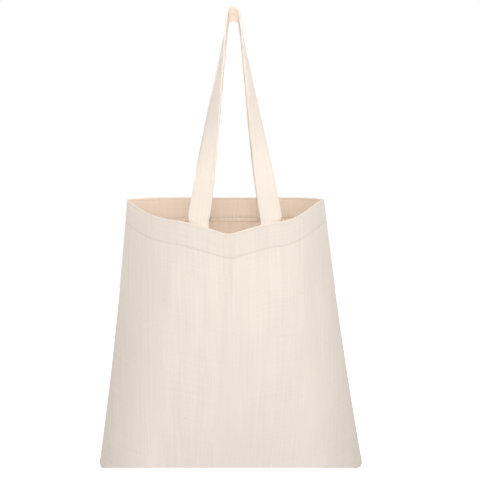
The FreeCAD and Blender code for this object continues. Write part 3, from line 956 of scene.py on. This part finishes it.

# the hem's row and the rim's row, darkened as painted shade in their stitched grooves, and the fold of the
# rim, lightened as a painted highlight
hem_rows_painted_light = [(-HEM_ROW * MM, 0.0016, 0.12), (-RIM_ROW * MM, 0.0011, 0.03), (0.0, 0.0026, -0.09)]
strap_row = (STRAP_WIDTH / 2 - STRAP_EDGE_ROW) * MM
# the strap's stitched rows, darkened slightly as painted shade in their grooves
strap_rows_painted_shade = [(end * strap_row, 0.0009, 0.01) for end in (LEFT, RIGHT)]
materials = {
    "canvas": cloth_material(
        "canvas_outside",
        CANVAS_COLOUR,
        hem_rows_painted_light,
        dark_above=(-HEM_ROW * MM, 0.02),
        # painted shade at the low side edges of both panels, which share this material
        edge_shade=0.25,
    ),
    # the inside faces and seam allowances, with the painted light of the inside's colour
    "inside": cloth_material("canvas_inside_painted_light", INSIDE_PAINTED_LIGHT_COLOUR, hem_rows_painted_light),
    "strap": cloth_material("strap_canvas", STRAP_COLOUR, strap_rows_painted_shade, row_axis=0, weave=0.7),
    "thread": thread_material(),
}


# Camera, light and floor

CAMERA_PLACE = (0.00936, -0.870, -0.318)
CAMERA_LENS, CAMERA_SENSOR = 45.3, 36

camera = bpy.data.objects.new("camera", bpy.data.cameras.new("camera"))
camera.location = CAMERA_PLACE
camera.rotation_euler = (math.pi / 2, 0, 0)
camera.data.lens = CAMERA_LENS
camera.data.sensor_width = CAMERA_SENSOR
camera.data.clip_start, camera.data.clip_end = 0.01, 60
bpy.context.scene.collection.objects.link(camera)
bpy.context.scene.camera = camera
bpy.context.scene.view_settings.view_transform = "Standard"

BAG_MIDDLE = (0, 0, -0.38)
INSIDE_BACK = (0, 0.075, -0.285)
LOOPS = (0, 0, -0.01)
# name, place, aim, width, height, power in watts, spread in degrees
LAMPS = [
    ("right_softbox", (0.9, -2.2, 0.3), BAG_MIDDLE, 1.3, 1.3, 5.9, 180),
    ("near_softbox", (0.05, -0.95, -0.12), BAG_MIDDLE, 0.5, 0.5, 2.2, 180),
    ("mouth_fill", (0, -0.6, 0.1), INSIDE_BACK, 0.26, 0.04, 0.005, 12),
    ("handle_fill", (0.02, -0.8, -0.36), LOOPS, 0.1, 0.1, 0.03, 16),
    ("loop_fill", (0, -0.005, -0.2), LOOPS, 0.03, 0.05, 0.01, 60),
]
for name, place, aim, width, height, power, spread in LAMPS:
    data = bpy.data.lights.new(name, "AREA")
    data.shape, data.size, data.size_y, data.energy = "RECTANGLE", width, height, power
    data.spread = math.radians(spread)
    lamp = bpy.data.objects.new(name, data)
    lamp.location = place
    lamp.visible_camera = False
    lamp.rotation_mode = "QUATERNION"
    lamp.rotation_quaternion = (Vector(aim) - Vector(place)).to_track_quat("-Z", "Y")
    bpy.context.scene.collection.objects.link(lamp)

world = bpy.data.worlds.new("studio")
bpy.context.scene.world = world
world.use_nodes = True
tree = world.node_tree
background = tree.nodes["Background"]
background.inputs["Color"].default_value = (1, 1, 1, 1)
# the room lights the bag at this strength, and is white where it is seen directly
ROOM_LIGHT = 0.75
seen = tree.nodes.new("ShaderNodeLightPath")
strength = tree.nodes.new("ShaderNodeMix")
strength.inputs["A"].default_value = ROOM_LIGHT
strength.inputs["B"].default_value = 1.0
tree.links.new(seen.outputs["Is Camera Ray"], strength.inputs["Factor"])
tree.links.new(strength.outputs["Result"], background.inputs["Strength"])

FLOOR_Z = -0.95
FLOOR_HALF = 7
FLOOR_GREY = (0.86, 0.86, 0.86, 1)
FLOOR_GLOW = 0.75
floor_mesh = bpy.data.meshes.new("floor")
corners = [
    (x * FLOOR_HALF, y * FLOOR_HALF, FLOOR_Z) for x, y in ((-1, -1), (1, -1), (1, 1), (-1, 1))
]
floor_mesh.from_pydata(corners, [], [(0, 1, 2, 3)])
floor = bpy.data.objects.new("floor", floor_mesh)
bpy.context.scene.collection.objects.link(floor)
floor_nodes = Nodes("pale_floor")
floor_nodes.set(Base_Color=FLOOR_GREY, Roughness=0.9)
floor_nodes.set(Emission_Color=(1, 1, 1, 1), Emission_Strength=FLOOR_GLOW)
floor_mesh.materials.append(floor_nodes.material)
# it sends no light back on to the bag
floor.visible_diffuse = False


# The pieces

cloths, threads, straps = {}, {}, {}
for side, side_name in SIDE_NAMES.items():
    cloth = make_cloth(side, materials["canvas"], materials["inside"])
    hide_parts(f"{side_name}_panel", f"{side_name}_hem")
    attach(cloth, "bag")
    rows = []
    for row_name, place in (("hem", HEM_ROW), ("rim", RIM_ROW)):
        row = make_row(side, place, f"{side_name}_{row_name}_thread", materials["thread"])
        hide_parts(f"{side_name}_{row_name}_stitching")
        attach(row, "bag")
        rows.append(row)
    cloths[side], threads[side] = cloth, rows

for side, side_name in SIDE_NAMES.items():
    strap = make_strap(side, materials["strap"])
    ends = [f"{side_name}_handle_{end}_end" for end in END_NAMES.values()]
    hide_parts(f"{side_name}_handle", *ends)
    seam_thread = make_strap_thread(side, materials["thread"])
    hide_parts(f"{side_name}_handle_stitching")
    foot = foot_point(side, RIGHT)
    for piece in (strap, seam_thread):
        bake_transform(piece)
    straps[side] = strap

for name, place, length, seed in (
    ("left_side", side_place(LEFT), SIDE_SEAM_LENGTH, 71),
    ("right_side", side_place(RIGHT), SIDE_SEAM_LENGTH, 72),
    ("bottom", bottom_place, BOTTOM_SEAM_LENGTH, 73),
):
    allowance, overlock = make_seam(name, place, length, seed, materials)
    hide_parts(f"{name}_seam")
    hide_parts(f"{name}_stitching")
    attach(allowance, "bag")
    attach(overlock, "bag")
